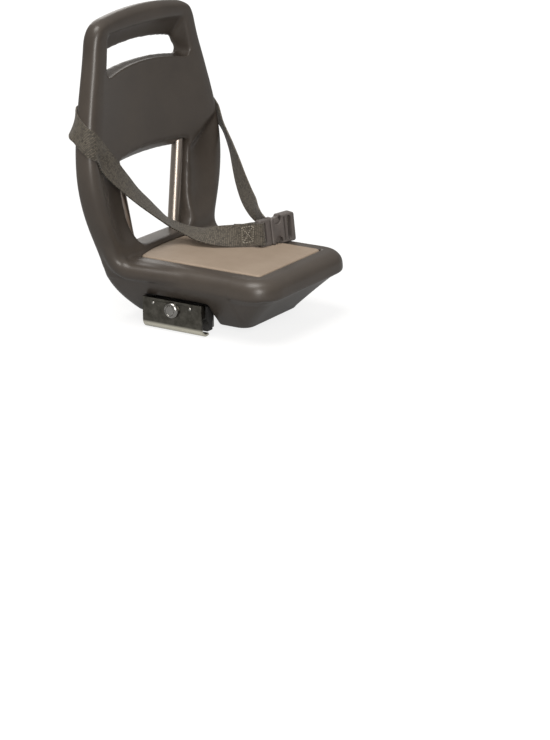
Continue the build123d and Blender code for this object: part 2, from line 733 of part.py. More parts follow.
# The lap belt as it lies: from the plug over the pad, up and round the right column,
# behind the back, round the left column and down to the socket
belt_rear = belt_gap + belt_thickness / 2
side = widest_half_width
upright = (0, 0, 1)
leaning = tuple(back_rear.y_dir)
belt_start = buckle_plane.from_local_coords((0, 0, 0))
socket_back = -(buckle_thickness + belt_thickness) / 2
socket_middle = (socket_start + socket_end) / 2
belt_end = buckle_plane.from_local_coords((slot_end - socket_slot / 2, 0, socket_back))
belt_turn = buckle_plane.from_local_coords((socket_middle, 0, 1.3 * socket_back))
belt_stations = [
    (belt_start, upright),
    ((36, 30.5, 82.5), upright),
    ((24, 25, 80.8), upright),
    ((9, 18, 79.8), upright),
    ((-6, 11.5, 79.8), upright),
    ((-20, 7.5, 79.8), (-0.05, 0.1, 1)),
    ((-36, 7.5, 80), upright),
    ((-46, 7, 80.3), (0, 0.05, 1)),
    ((-54, 3, 82.5), (-0.1, 0.15, 0.98)),
    ((-59, -4.5, 88), (-0.25, 0.35, 0.9)),
    ((-62, -16, 98.5), (-0.35, 0.5, 0.79)),
    ((-66, -47.5, 125), (-0.45, 0.62, 0.62)),
    ((-70, -89.3, 164.8), (0, 0.7, 0.71)),
    ((-73.8, 19 - side, 186.5), (-0.1, 0.66, 0.74)),
    ((-73.6, 8.2 - side, 195.5), (0.1, 0.6, 0.8)),
    ((-77.8, 2 - side, 203), (0.35, 0.4, 0.85)),
    ((-88.5, 1.3 - side, 210.5), (0.45, 0.25, 0.86)),
    ((-100.5, 3.3 - side, 220.5), (0.2, 0.24, 0.93)),
    ((-108, 7.3 - side, 226), (0.05, 0.2, 0.95)),
    ((-109.5, 17.5 - side, 229.5), leaning),
    (back_rear.from_local_coords((36.5 - side, belt_height - belt_fall, -belt_rear)), leaning),
    (back_rear.from_local_coords((-keeper_width, belt_height, -belt_rear)), leaning),
    (back_rear.from_local_coords((keeper_width, belt_height, -belt_rear)), leaning),
    (back_rear.from_local_coords((side - 36.5, belt_height - belt_fall, -belt_rear)), leaning),
    ((-109, side - 17.5, 229.5), leaning),
    ((-108, side - 7.3, 226), (0.05, -0.2, 0.95)),
    ((-100.5, side - 2.8, 220.5), (0.15, -0.28, 0.92)),
    ((-90, side + 1.2, 206), (0.2, -0.46, 0.86)),
    ((-80.5, side + 1.2, 189.7), (0.25, -0.65, 0.7)),
    ((-64, side - 9.1, 174.5), (0.25, -0.75, 0.6)),
    ((-48, side - 19.1, 152.6), (0.45, -0.5, 0.72)),
    ((-29.4, 100.8, 123.4), (0.58, -0.3, 0.75)),
    ((-13.6, 90.9, 107), (0.58, -0.3, 0.75)),
    ((5.1, 79.3, 93.7), (0.5, -0.35, 0.8)),
    ((20, 70, 88), (0.4, -0.2, 0.88)),
    ((33, 66, 84.5), (0.15, -0.05, 0.98)),
    (belt_turn, upright),
    (belt_end, upright),
]
belt_points = [Vector(place) for place, _ in belt_stations]
belt_ways = [after - before for before, after in zip(belt_points, belt_points[2:])]
belt_ways = [-buckle_plane.x_dir, *belt_ways, buckle_plane.x_dir]
belt_planes = [
    Plane(place, x_dir=edge, z_dir=way)
    for place, (_, edge), way in zip(belt_points, belt_stations, belt_ways)
]
half_width = belt_width / 2
half_thickness = belt_thickness / 2
belt_ring = [
    (half_width, half_thickness), (-half_width, half_thickness),
    (-half_width, -half_thickness), (half_width, -half_thickness),
]
belt_corners = [[plane.from_local_coords(corner) for corner in belt_ring] for plane in belt_planes]
belt_faces = [Face(Wire.make_polygon(belt_corners[end])) for end in (0, -1)]
for here, there in zip(belt_corners, belt_corners[1:]):
    for corner in range(4):
        belt_faces.append(Face(Wire.make_polygon([here[corner], here[corner - 1], there[corner]])))
        belt_faces.append(Face(Wire.make_polygon([here[corner - 1], there[corner - 1], there[corner]])))
with BuildPart() as lap_belt:
    add(Solid(Shell(belt_faces)))
lap_belt.part.label = "lap_belt"
export_step(lap_belt.part, "parts/lap_belt.step")
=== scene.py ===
# Child bike seat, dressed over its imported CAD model.
# Metres, in the CAD's own frame: X forward, Y to the rider's left, Z up.
import json
import math

import bmesh
import bpy
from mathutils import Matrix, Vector
from mathutils.bvhtree import BVHTree

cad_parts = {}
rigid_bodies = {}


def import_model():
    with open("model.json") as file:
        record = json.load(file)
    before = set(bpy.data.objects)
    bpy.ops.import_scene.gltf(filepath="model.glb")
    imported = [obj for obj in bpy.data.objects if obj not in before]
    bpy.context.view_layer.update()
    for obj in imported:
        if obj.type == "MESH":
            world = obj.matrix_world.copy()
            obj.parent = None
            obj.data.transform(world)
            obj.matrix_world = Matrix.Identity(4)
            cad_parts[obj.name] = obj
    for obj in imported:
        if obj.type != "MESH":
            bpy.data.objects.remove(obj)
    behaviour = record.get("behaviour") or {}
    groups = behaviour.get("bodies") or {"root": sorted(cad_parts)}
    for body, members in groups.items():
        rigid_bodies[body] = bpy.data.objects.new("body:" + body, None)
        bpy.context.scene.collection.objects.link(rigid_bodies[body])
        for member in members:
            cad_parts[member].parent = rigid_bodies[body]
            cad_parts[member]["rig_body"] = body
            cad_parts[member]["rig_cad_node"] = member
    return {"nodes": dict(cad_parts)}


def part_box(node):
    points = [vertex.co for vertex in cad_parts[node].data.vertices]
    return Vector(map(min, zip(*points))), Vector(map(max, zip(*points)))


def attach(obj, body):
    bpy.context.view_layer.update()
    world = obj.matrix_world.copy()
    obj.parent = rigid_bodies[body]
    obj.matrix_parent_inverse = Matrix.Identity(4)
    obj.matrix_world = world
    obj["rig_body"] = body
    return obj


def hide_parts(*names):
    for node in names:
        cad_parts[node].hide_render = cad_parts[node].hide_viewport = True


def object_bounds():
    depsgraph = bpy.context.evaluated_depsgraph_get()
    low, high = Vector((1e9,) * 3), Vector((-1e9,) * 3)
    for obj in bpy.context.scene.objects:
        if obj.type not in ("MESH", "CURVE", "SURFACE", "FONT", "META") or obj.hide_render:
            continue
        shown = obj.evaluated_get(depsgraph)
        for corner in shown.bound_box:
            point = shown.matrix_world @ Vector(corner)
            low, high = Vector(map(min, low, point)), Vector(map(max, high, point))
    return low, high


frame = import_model()
cad_nodes = frame["nodes"]
cad_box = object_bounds()
bpy.ops.object.select_all(action="DESELECT")

# Studio: a pale floor under the clamps, a broad soft sky overhead, a softbox by the camera
# and a weaker one behind. The camera stands where the photograph was taken, so that the
# picture's frame is the photograph's own.
photo_height = 740
focal_pixels = 2400
film_size = 36.0
camera_place = (1.47139, -2.21597, 0.80529)
camera_down = 18.403
camera_turn = 32.094
floor_size = 300
floor_gap = 0.0002
floor_white = 0.82
floor_in_mirrors = 0.25
lamp_colour = (1.0, 0.97, 0.93)
softbox_height = 1.4
softbox_aim = Vector((0, 0, 0.15))
scene = bpy.context.scene
scene.view_settings.view_transform = "Standard"


def add_node(tree, kind, inputs=None, **settings):
    """Adds a shader node, with its settings, and links or sets its inputs."""
    made = tree.nodes.new(kind)
    for key, value in settings.items():
        setattr(made, key, value)
    for key, value in (inputs or {}).items():
        if isinstance(value, bpy.types.NodeSocket):
            tree.links.new(value, made.inputs[key])
        else:
            made.inputs[key].default_value = value
    return made


camera_data = bpy.data.cameras.new("photo_camera")
camera_data.sensor_width = film_size
camera_data.lens = focal_pixels / photo_height * film_size
camera_data.clip_start = 0.05
camera_data.clip_end = 50.0
camera = bpy.data.objects.new("photo_camera", camera_data)
camera.location = camera_place
camera.rotation_euler = (math.radians(90 - camera_down), 0, math.radians(camera_turn))
scene.collection.objects.link(camera)
scene.camera = camera

bpy.ops.mesh.primitive_plane_add(size=floor_size, location=(0, 0, cad_box[0].z - floor_gap))
floor = bpy.context.object
floor.name = "studio_floor"
paper = bpy.data.materials.new("floor_paper")
paper.use_nodes = True
paper_tree = paper.node_tree
paper_tree.nodes.clear()
paper_place = add_node(paper_tree, "ShaderNodeTexCoord")
paper_grain = add_node(
    paper_tree, "ShaderNodeTexNoise",
    {"Vector": paper_place.outputs["Object"], "Scale": 6.0, "Detail": 2.0},
)
paper_tone = add_node(
    paper_tree, "ShaderNodeMapRange",
    {"Value": paper_grain.outputs["Fac"], "To Min": 0.20, "To Max": 0.22},
)
paper_matte = add_node(paper_tree, "ShaderNodeBsdfDiffuse", {"Color": paper_tone.outputs["Result"]})
paper_rays = add_node(paper_tree, "ShaderNodeLightPath")
paper_mirrored = add_node(
    paper_tree, "ShaderNodeMath",
    {0: paper_rays.outputs["Is Glossy Ray"], 1: paper_rays.outputs["Is Transmission Ray"]},
    operation="MAXIMUM",
)
paper_seen = add_node(
    paper_tree, "ShaderNodeMapRange",
    {"Value": paper_rays.outputs["Is Camera Ray"], "To Min": 0.0, "To Max": floor_white},
)
paper_lift = add_node(
    paper_tree, "ShaderNodeMath",
    {0: paper_mirrored.outputs[0], 1: floor_in_mirrors, 2: paper_seen.outputs["Result"]},
    operation="MULTIPLY_ADD",
)
paper_glow = add_node(paper_tree, "ShaderNodeEmission", {"Strength": paper_lift.outputs[0]})
paper_sum = add_node(
    paper_tree, "ShaderNodeAddShader", {0: paper_matte.outputs[0], 1: paper_glow.outputs[0]},
)
add_node(paper_tree, "ShaderNodeOutputMaterial", {"Surface": paper_sum.outputs[0]})
floor.data.materials.append(paper)

world = bpy.data.worlds.new("studio_white")
scene.world = world
world.use_nodes = True
world_tree = world.node_tree
world_tree.nodes.clear()
world_way = add_node(world_tree, "ShaderNodeTexCoord")
world_height = add_node(
    world_tree, "ShaderNodeSeparateXYZ", {"Vector": world_way.outputs["Generated"]},
)
world_strength = add_node(
    world_tree, "ShaderNodeMapRange",
    {"Value": world_height.outputs["Z"], "From Min": 0.0, "From Max": 0.8,
     "To Min": 0.20, "To Max": 0.46},
)
world_light = add_node(
    world_tree, "ShaderNodeBackground",
    {"Color": (*lamp_colour, 1), "Strength": world_strength.outputs["Result"]},
)
add_node(world_tree, "ShaderNodeOutputWorld", {"Surface": world_light.outputs[0]})

sky_data = bpy.data.lights.new("soft_sky", "SUN")
sky_data.energy = 2.1
sky_data.angle = math.radians(36)
sky_data.color = lamp_colour
sky = bpy.data.objects.new("soft_sky", sky_data)
sky.rotation_euler = Vector((-0.05, -0.30, 1.0)).to_track_quat("Z", "Y").to_euler()
scene.collection.objects.link(sky)
for name, place, width, energy in (
    ("camera_softbox", (1.55, -2.05, 1.0), 0.7, 42.0),
    ("rear_softbox", (-1.9, 1.7, 1.1), 1.1, 9.0),
):
    softbox_data = bpy.data.lights.new(name, "AREA")
    softbox_data.shape = "RECTANGLE"
    softbox_data.size = width
    softbox_data.size_y = softbox_height
    softbox_data.energy = energy
    softbox_data.color = lamp_colour
    softbox = bpy.data.objects.new(name, softbox_data)
    softbox.location = place
    softbox.rotation_euler = (softbox.location - softbox_aim).to_track_quat("Z", "Y").to_euler()
    scene.collection.objects.link(softbox)

# Seat shell: one moulding of integral-skin foam, seat, open back and carrying handle in one.
# Its dark skin is satin, lightly grained by the mould, and every edge is soft.
shell_step = 0.0014
shell_kept = 0.58
thin_wall_x, thin_wall_y, thin_wall_z = -0.1033, 0.067, 0.186
thin_wall_fill = (0.0012, 0.024, 0.018)
thin_wall_low, thin_wall_high = 0.174, 0.200
thin_wall_inner, thin_wall_outer = 0.050, 0.084
rear_slope = 0.075
back_lean = math.radians(5.7)
back_foot = -0.0573
handle_foot = 0.25
handle_drop = 0.006
handle_reach = 0.017
grip_side = 0.1
lip_low, lip_high = 0.14, 0.20
lip_reach = 0.022
lip_side = 0.075
ridge_side = 0.09
ridge_height = 0.0015
rim_top = 0.064
rim_edge = 0.0445
rim_overhang = 0.0016


def worked_copy(node, name):
    """A merged copy of a CAD node, ready to be worked on, that stands for that node."""
    bpy.ops.object.select_all(action="DESELECT")
    copy = cad_nodes[node].copy()
    copy.data = cad_nodes[node].data.copy()
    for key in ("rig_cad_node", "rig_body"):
        del copy[key]
    copy.parent = None
    copy.name = name
    copy.data.name = name
    copy.data.materials.clear()
    scene.collection.objects.link(copy)
    bpy.context.view_layer.objects.active = copy
    copy.select_set(True)
    bpy.ops.mesh.customdata_custom_splitnormals_clear()
    bpy.ops.object.mode_set(mode="EDIT")
    bpy.ops.mesh.select_all(action="SELECT")
    bpy.ops.mesh.remove_doubles(threshold=0.00002)
    bpy.ops.object.mode_set(mode="OBJECT")
    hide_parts(node)
    return copy


def apply_modifier(piece, kind, **settings):
    """Adds one modifier to a piece and applies it."""
    modifier = piece.modifiers.new(kind.lower(), kind)
    for key, value in settings.items():
        setattr(modifier, key, value)
    bpy.ops.object.modifier_apply(modifier=modifier.name)


def ramp(value, low, high):
    """Nought below low, one above high, and smooth between."""
    share = max(0.0, min(1.0, (value - low) / (high - low)))
    return share * share * (3 - 2 * share)


def near(value, centre, reach):
    """One at the centre, and smoothly down to nought at its reach to either side."""
    return ramp(1 - abs(value - centre) / reach, 0, 1)


def arch(y, height, sag, half_width):
    """How high a low arch is at y, from its height in the middle and its sag at half its width."""
    return height - sag * (y / half_width) ** 2


shell = worked_copy("seat_shell", "shell_moulding")
# The wall behind the tube's two upper ends is thinner than a step of the new mesh, so it is
# filled out here and drawn flat again below
bpy.ops.object.mode_set(mode="EDIT")
for side in (-1, 1):
    bpy.ops.mesh.primitive_cube_add(
        size=1, location=(thin_wall_x, side * thin_wall_y, thin_wall_z),
        rotation=(0, -rear_slope, 0), scale=thin_wall_fill,
    )
bpy.ops.object.mode_set(mode="OBJECT")
apply_modifier(shell, "REMESH", mode="VOXEL", voxel_size=shell_step)
apply_modifier(shell, "SMOOTH", factor=0.5, iterations=7)

# The handle's underside and the panel's lower lip roll down towards the rear, the handle's ends
# are full, and the back's front face and the turn of the rim are softer than the seat's own edges
soft_faces = shell.vertex_groups.new(name="soft_faces")
column_feet = shell.vertex_groups.new(name="column_feet")
for vertex in shell.data.vertices:
    x, y, z = vertex.co
    depth = (x - back_foot) * math.cos(back_lean) + z * math.sin(back_lean)
    rearward = ramp(-depth, 0.004, 0.024)
    outward = min(1.2, (y / 0.08) ** 2)
    by_rear = by_lip = on_sill = 0.0
    if z > handle_foot:
        grip_front = arch(y, height=0.3205, sag=0.007, half_width=0.086)
        grip_rear = arch(y, height=0.3015, sag=0.008, half_width=0.081)
        inside = ramp(grip_side - abs(y), 0, 0.015)
        by_front = near(z, grip_front, handle_reach) * (1 - rearward) * inside
        by_rear = near(z, grip_rear, handle_reach) * rearward * inside
        on_sill = ramp(z, 0.252, 0.262) * ramp(0.292 - z, 0, 0.006) * rearward * inside
        vertex.co.z += 0.003 * outward * ramp(z, 0.285, 0.315)
        vertex.co.z += by_front * (0.0025 + 0.002 * outward)
        vertex.co.z -= by_rear * handle_drop
    if lip_low < z < lip_high and abs(y) < lip_side:
        lip_rear = arch(y, height=0.174, sag=0.008, half_width=0.068)
        by_lip = near(z, lip_rear, lip_reach) * rearward * ramp(lip_side - abs(y), 0, 0.012)
        vertex.co.z -= by_lip * (0.0063 - 0.0047 * outward)
    if thin_wall_low < z < thin_wall_high and thin_wall_inner < abs(y) < thin_wall_outer:
        rear_face = thin_wall_x - rear_slope * (vertex.co.z - thin_wall_z)
        if x < rear_face + shell_step / 2:
            vertex.co.x = rear_face
    on_back = ramp(depth, -0.026, -0.014) * ramp(z, 0.07, 0.085) * ramp(0.262 - z, 0, 0.012)
    on_turn = ramp(abs(y), 0.062, 0.078) * ramp(z, 0.046, 0.056) * ramp(0.125 - z, 0, 0.015)
    on_turn *= ramp(x, -0.10, -0.08) * ramp(0.09 - x, 0, 0.02)
    on_foot = ramp(abs(y), 0.048, 0.056) * ramp(0.100 - abs(y), 0, 0.010) * ramp(z, 0.066, 0.074)
    on_foot *= ramp(0.150 - z, 0, 0.02)
    soft_faces.add([vertex.index], max(on_back, on_turn, by_rear, by_lip, on_sill), "REPLACE")
    column_feet.add([vertex.index], on_foot, "REPLACE")
apply_modifier(shell, "SMOOTH", factor=0.5, iterations=4)
apply_modifier(shell, "SMOOTH", factor=0.5, iterations=27, vertex_group="soft_faces")
apply_modifier(shell, "SMOOTH", factor=0.5, iterations=90, vertex_group="column_feet")
shell.vertex_groups.clear()

# The panel meets the grip hole in a narrow ridge. The seat's rim ends in an edge all round its
# sides and front, and the body draws in below it
panel_ridge = shell.vertex_groups.new(name="panel_ridge")
shell_normals = [vertex.normal.copy() for vertex in shell.data.vertices]
for vertex, normal in zip(shell.data.vertices, shell_normals):
    x, y, z = vertex.co
    if handle_foot < z < 0.29 and abs(y) < ridge_side and x > -0.11:
        vertex.co += normal * ridge_height * ramp(min(normal.x, normal.z), 0.2, 0.6)
        panel_ridge.add([vertex.index], 1.0, "REPLACE")
    if z < rim_top:
        overhang = (rim_top - z) / (rim_top - rim_edge)
        if z < rim_edge:
            overhang = max(-0.5, 1 - (rim_edge - z) / 0.006)
        outer_side = max(ramp(abs(y), 0.092, 0.098), ramp(x, 0.075, 0.082))
        facing_out = ramp(max(abs(normal.y), normal.x), 0.4, 0.7)
        vertex.co += normal * rim_overhang * overhang * outer_side * facing_out
apply_modifier(shell, "SMOOTH", factor=0.5, iterations=3, vertex_group="panel_ridge")
shell.vertex_groups.clear()
apply_modifier(shell, "DECIMATE", ratio=shell_kept)
bpy.ops.object.shade_smooth()


def new_finish(name, values):
    """A new finish with the values that are the same all over it, and its node tree."""
    finish = bpy.data.materials.new(name)
    finish.use_nodes = True
    for socket, value in values.items():
        finish.node_tree.nodes["Principled BSDF"].inputs[socket].default_value = value
    return finish, finish.node_tree


def own_place(tree):
    """The piece's own coordinates, which the pattern of a finish follows."""
    return add_node(tree, "ShaderNodeTexCoord").outputs["Object"]


def link_finish(tree, output, socket):
    """Links a node's output to a socket of the finish."""
    tree.links.new(output, tree.nodes["Principled BSDF"].inputs[socket])


def colour_by(tree, value, dark, light, low=0.0, high=1.0):
    """Colours a finish from dark to light as a value goes from low to high."""
    tone = add_node(tree, "ShaderNodeValToRGB", {"Fac": value})
    for stop, position, colour in zip(tone.color_ramp.elements, (low, high), (dark, light)):
        stop.position = position
        stop.color = (*colour, 1)
    link_finish(tree, tone.outputs["Color"], "Base Color")
    return tone.outputs["Color"]


def roughen_by(tree, value, smooth, rough, low=0.0, high=1.0):
    """Makes a finish rougher as a value goes from low to high."""
    sheen = add_node(
        tree, "ShaderNodeMapRange",
        {"Value": value, "From Min": low, "From Max": high, "To Min": smooth, "To Max": rough},
    )
    link_finish(tree, sheen.outputs["Result"], "Roughness")


def grain_by(tree, height, strength, distance):
    """Raises a fine grain on a finish."""
    bump = add_node(
        tree, "ShaderNodeBump", {"Height": height, "Strength": strength, "Distance": distance},
    )
    link_finish(tree, bump.outputs["Normal"], "Normal")


def add_cloud(tree, place, scale, detail, roughness=0.5):
    """A soft noise that a finish takes its tones or its grain from."""
    cloud = add_node(
        tree, "ShaderNodeTexNoise",
        {"Vector": place, "Scale": scale, "Detail": detail, "Roughness": roughness},
    )
    return cloud.outputs["Fac"]


def dress(piece, finish):
    """Gives a finished piece its look and sets it on the seat."""
    piece.data.materials.append(finish)
    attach(piece, "root")


skin, skin_tree = new_finish("moulded_skin", {})
skin_place = own_place(skin_tree)
skin_cloud = add_cloud(skin_tree, skin_place, 14.0, 5.0, 0.6)
colour_by(skin_tree, skin_cloud, (0.052, 0.043, 0.036), (0.070, 0.058, 0.048), 0.3, 0.7)
roughen_by(skin_tree, skin_cloud, 0.31, 0.39, 0.3, 0.7)
grain_by(skin_tree, add_cloud(skin_tree, skin_place, 1100.0, 2.0), 0.12, 0.0004)
dress(shell, skin)

# Seat pad: a thin foam sheet with a smooth taupe cover, let into a pocket of the seat.
# Its edge is rounded over and its middle stands a little proud.
pad_step = 0.0013
pad_skin = 0.0008
pad_crown = 0.0004
pad_middle = 0.020
pad_half_length = 0.085
pad_half_width = 0.068
pad_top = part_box("seat_pad")[1].z
pad = worked_copy("seat_pad", "pad_cushion")
apply_modifier(pad, "REMESH", mode="VOXEL", voxel_size=pad_step)
apply_modifier(pad, "SMOOTH", factor=0.5, iterations=3)
for vertex in pad.data.vertices:
    if vertex.co.z > pad_top - pad_skin:
        along = (vertex.co.x - pad_middle) / pad_half_length
        aside = vertex.co.y / pad_half_width
        vertex.co.z += pad_crown * max(0, 1 - along**4) * max(0, 1 - aside**4)
bpy.ops.object.shade_smooth()
cover, cover_tree = new_finish("pad_cover", {"Roughness": 0.62})
cover_place = own_place(cover_tree)
cover_cloud = add_cloud(cover_tree, cover_place, 22.0, 6.0, 0.65)
colour_by(cover_tree, cover_cloud, (0.285, 0.222, 0.168), (0.330, 0.262, 0.202), 0.3, 0.7)
cover_cells = add_node(cover_tree, "ShaderNodeTexVoronoi", {"Vector": cover_place, "Scale": 1500.0})
grain_by(cover_tree, cover_cells.outputs["Distance"], 0.15, 0.0003)
dress(pad, cover)

# Support frame: one bent stainless tube, polished along its length, that runs down inside the
# back, shows in the lower opening and turns forward under the seat.
tube = worked_copy("support_frame", "stainless_tube")
bpy.ops.object.shade_smooth_by_angle(angle=math.radians(40))
stainless, stainless_tree = new_finish("polished_stainless", {"Metallic": 1.0})
stainless_along = add_node(
    stainless_tree, "ShaderNodeMapping",
    {"Vector": own_place(stainless_tree), "Scale": (900.0, 900.0, 18.0)},
)
stainless_lines = add_cloud(stainless_tree, stainless_along.outputs["Vector"], 1.0, 3.0)
# The tube's dark, warm tone is a painted reflection of dark brown surroundings; the streaks along
# it are its polish lines.
colour_by(stainless_tree, stainless_lines, (0.345, 0.302, 0.267), (0.40, 0.352, 0.312))
roughen_by(stainless_tree, stainless_lines, 0.33, 0.38)
dress(tube, stainless)

# Rail clamps: a bent and bright-plated steel plate outside each rail, curled under it,
# with a moulded jaw inside and a zinc-plated bolt through both. The lip under the rail is painted
# paler, a painted reflection of the floor below it, and the plate's two pressed pips take the
# lighter zinc finish as a painted highlight.
# The plating turns paler below lip_top: a painted reflection of the floor under the rail.
lip_top = -0.0005
lip_full = -0.0035
lip_painted_reflection = (0.84, 0.81, 0.69, 1)
plate_face = 0.08855
bolt_dome = 0.0011
plating, plating_tree = new_finish("bright_plating", {"Metallic": 1.0})
plating_place = own_place(plating_tree)
plating_cloud = add_cloud(plating_tree, plating_place, 120.0, 6.0, 0.7)
plating_tone = colour_by(
    plating_tree, plating_cloud, (0.070, 0.066, 0.055), (0.165, 0.157, 0.136), 0.35, 0.70,
)
plating_height = add_node(plating_tree, "ShaderNodeSeparateXYZ", {"Vector": plating_place})
# Painted reflection: this mask fades in the lip's paler colour below lip_top.
plating_painted_reflection = add_node(
    plating_tree, "ShaderNodeMapRange",
    {"Value": plating_height.outputs["Z"], "From Min": lip_top, "From Max": lip_full},
)
plating_mix = add_node(
    plating_tree, "ShaderNodeMix",
    {0: plating_painted_reflection.outputs["Result"], 6: plating_tone, 7: lip_painted_reflection}, data_type="RGBA",
)
link_finish(plating_tree, plating_mix.outputs[2], "Base Color")
roughen_by(plating_tree, plating_cloud, 0.10, 0.24, 0.3, 0.7)

zinc, zinc_tree = new_finish("zinc_plating", {"Metallic": 1.0, "Roughness": 0.24})
zinc_cloud = add_cloud(zinc_tree, own_place(zinc_tree), 260.0, 4.0)
colour_by(zinc_tree, zinc_cloud, (0.27, 0.265, 0.25), (0.42, 0.41, 0.39))

jaw_plastic, jaw_tree = new_finish("jaw_plastic", {"Roughness": 0.55})
jaw_cloud = add_cloud(jaw_tree, own_place(jaw_tree), 700.0, 3.0)
colour_by(jaw_tree, jaw_cloud, (0.018, 0.018, 0.018), (0.032, 0.031, 0.030))


def flat_faced_copy(node):
    """A worked copy of a CAD node whose flat faces are whole again."""
    copy = worked_copy(node, f"{node}_finished")
    bpy.ops.object.mode_set(mode="EDIT")
    bpy.ops.mesh.select_all(action="SELECT")
    bpy.ops.mesh.dissolve_limited(angle_limit=math.radians(1.0))
    bpy.ops.object.mode_set(mode="OBJECT")
    return copy


def dome_the_head(bolt):
    """Raises the flat of a bolt's head to a low dome."""
    bpy.ops.object.mode_set(mode="EDIT")
    bolt_mesh = bmesh.from_edit_mesh(bolt.data)
    head_end = max(abs(vertex.co.y) for vertex in bolt_mesh.verts)
    for face in bolt_mesh.faces:
        face.select_set(abs(abs(face.calc_center_median().y) - head_end) < 0.00005)
    bmesh.update_edit_mesh(bolt.data)
    bpy.ops.mesh.poke(offset=bolt_dome)
    bpy.ops.object.mode_set(mode="OBJECT")


def break_edges(piece, width):
    """Rounds a piece's sharp edges."""
    apply_modifier(
        piece, "BEVEL", width=width, segments=2, limit_method="ANGLE", angle_limit=math.radians(40),
    )


def smooth_rounds():
    """Shades the selected piece's round faces smooth and leaves its flat ones flat."""
    bpy.ops.object.shade_smooth_by_angle(angle=math.radians(32))


for node, edge, finish, slot in (
    ("side_plate", 0.0006, plating, "plated_steel"),
    ("clamp_jaw", 0.0008, jaw_plastic, "jaw"),
    ("clamp_bolt", 0.0003, zinc, "fastener"),
    ("clamp_washer", 0.0002, zinc, "fastener"),
    ("clamp_nut", 0.0003, zinc, "fastener"),
):
    for side in ("right", "left"):
        clamp_piece = flat_faced_copy(f"{node}_{side}")
        if node == "clamp_bolt":
            dome_the_head(clamp_piece)
        break_edges(clamp_piece, edge)
        smooth_rounds()
        dress(clamp_piece, finish)
        if node == "side_plate":
            # The pips that stand proud of the plate face get the lighter zinc finish: a painted
            # highlight.
            clamp_piece.data.materials.append(zinc)
            for face in clamp_piece.data.polygons:
                face.material_index = int(abs(face.center.y) > plate_face)

# Base: a zinc-plated cross plate in the channel under the seat, held up by screws with
# washers into brass inserts that are moulded into the shell.
brass, brass_tree = new_finish("insert_brass", {"Metallic": 1.0, "Roughness": 0.32})
brass_cloud = add_cloud(brass_tree, own_place(brass_tree), 300.0, 3.0)
colour_by(brass_tree, brass_cloud, (0.50, 0.36, 0.14), (0.66, 0.50, 0.24))
for node, edge, finish, slot in (
    ("cross_plate", 0.0005, zinc, "zinc_steel"),
    ("base_inserts", 0.0002, brass, "insert"),
    ("base_washers", 0.0002, zinc, "fastener"),
    ("base_screws", 0.0002, zinc, "fastener"),
):
    base_piece = flat_faced_copy(node)
    break_edges(base_piece, edge)
    smooth_rounds()
    dress(base_piece, finish)

# Buckle and keeper: injection-moulded grey plastic with a fine spark-eroded texture.
# The plug's prongs sit in the socket, and the keeper is screwed to the back's rear face.
buckle_middle = Vector((0.0400, 0.0340, 0.0827))
buckle_half = 0.0155
buckle_turn = math.radians(74.6)
buckle_along = Vector((math.cos(buckle_turn), math.sin(buckle_turn), 0))
buckle_out = Vector((buckle_along.y, -buckle_along.x, 0))
buckle_slope = math.tan(math.radians(9))
buckle_rise = (Vector((0, 0, 1)) - buckle_out * buckle_slope).normalized()
window_along = 0.0262
window_out = 0.0058
window_up = 0.0128
window_radius = 0.0062
window_depth = 0.0085
strap_end_growth = 0.10
buckle_shrink = 0.03
buckle_plastic, buckle_tree = new_finish("buckle_plastic", {"Roughness": 0.42})
buckle_place = own_place(buckle_tree)
buckle_cloud = add_cloud(buckle_tree, buckle_place, 90.0, 4.0)
colour_by(buckle_tree, buckle_cloud, (0.084, 0.073, 0.068), (0.128, 0.112, 0.105))
grain_by(buckle_tree, add_cloud(buckle_tree, buckle_place, 1800.0, 1.0), 0.1, 0.0002)


def thumb_windows():
    """Two round cutters that open the socket's front wall over the plug's thumb pads."""
    bpy.ops.object.select_all(action="DESELECT")
    cutters = []
    for side in (1, -1):
        place = buckle_middle + buckle_along * window_along + buckle_out * window_out
        place.z += side * window_up
        bpy.ops.mesh.primitive_cylinder_add(
            vertices=40, radius=window_radius, depth=window_depth, location=place,
            rotation=buckle_out.to_track_quat("Z", "Y").to_euler(),
        )
        cutters.append(bpy.context.object)
    for cutter in cutters:
        cutter.select_set(True)
    bpy.ops.object.join()
    return bpy.context.object


def lean_the_buckle(piece):
    """Leans a half of the buckle back on its lower edge, and makes it higher at the strap end."""
    for vertex in piece.data.vertices:
        along = (vertex.co - buckle_middle).dot(buckle_along)
        height = vertex.co.z - buckle_middle.z + buckle_half
        vertex.co -= buckle_out * buckle_slope * height
        vertex.co.z += height * (strap_end_growth * ramp(along, 0.012, 0.040) - buckle_shrink)


for node, edge, finish, slot in (
    ("buckle_plug", 0.0006, buckle_plastic, "buckle"),
    ("buckle_socket", 0.0005, buckle_plastic, "buckle"),
    ("belt_keeper", 0.0006, buckle_plastic, "buckle"),
    ("keeper_screws", 0.0002, zinc, "fastener"),
):
    cutter = thumb_windows() if node == "buckle_socket" else None
    buckle_piece = flat_faced_copy(node)
    if cutter:
        apply_modifier(
            buckle_piece, "BOOLEAN", operation="DIFFERENCE", object=cutter, solver="EXACT",
        )
        bpy.data.objects.remove(cutter)
    break_edges(buckle_piece, edge)
    if node.startswith("buckle"):
        lean_the_buckle(buckle_piece)
    smooth_rounds()
    dress(buckle_piece, finish)

# Lap belt: one length of woven webbing. It is sewn in a loop round the plug's bar, goes over
# the pad and up round the right column, behind the back, and down to the slot of the socket.
belt_width = 0.025
belt_thickness = 0.0016
belt_steps = 8
across = 10
belt_reach = 0.02
belt_pull_reach = 0.010
belt_gap = 0.0002
belt_clearance = belt_thickness / 2 + belt_gap
leaning = Vector((-0.075, 0, 0.997))


def at_buckle(along, out):
    """A place at half the buckle's height, in millimetres along it and out of its leaning face."""
    aside = out / 1000 - buckle_half * buckle_slope
    return tuple(buckle_middle + buckle_along * along / 1000 + buckle_out * aside)


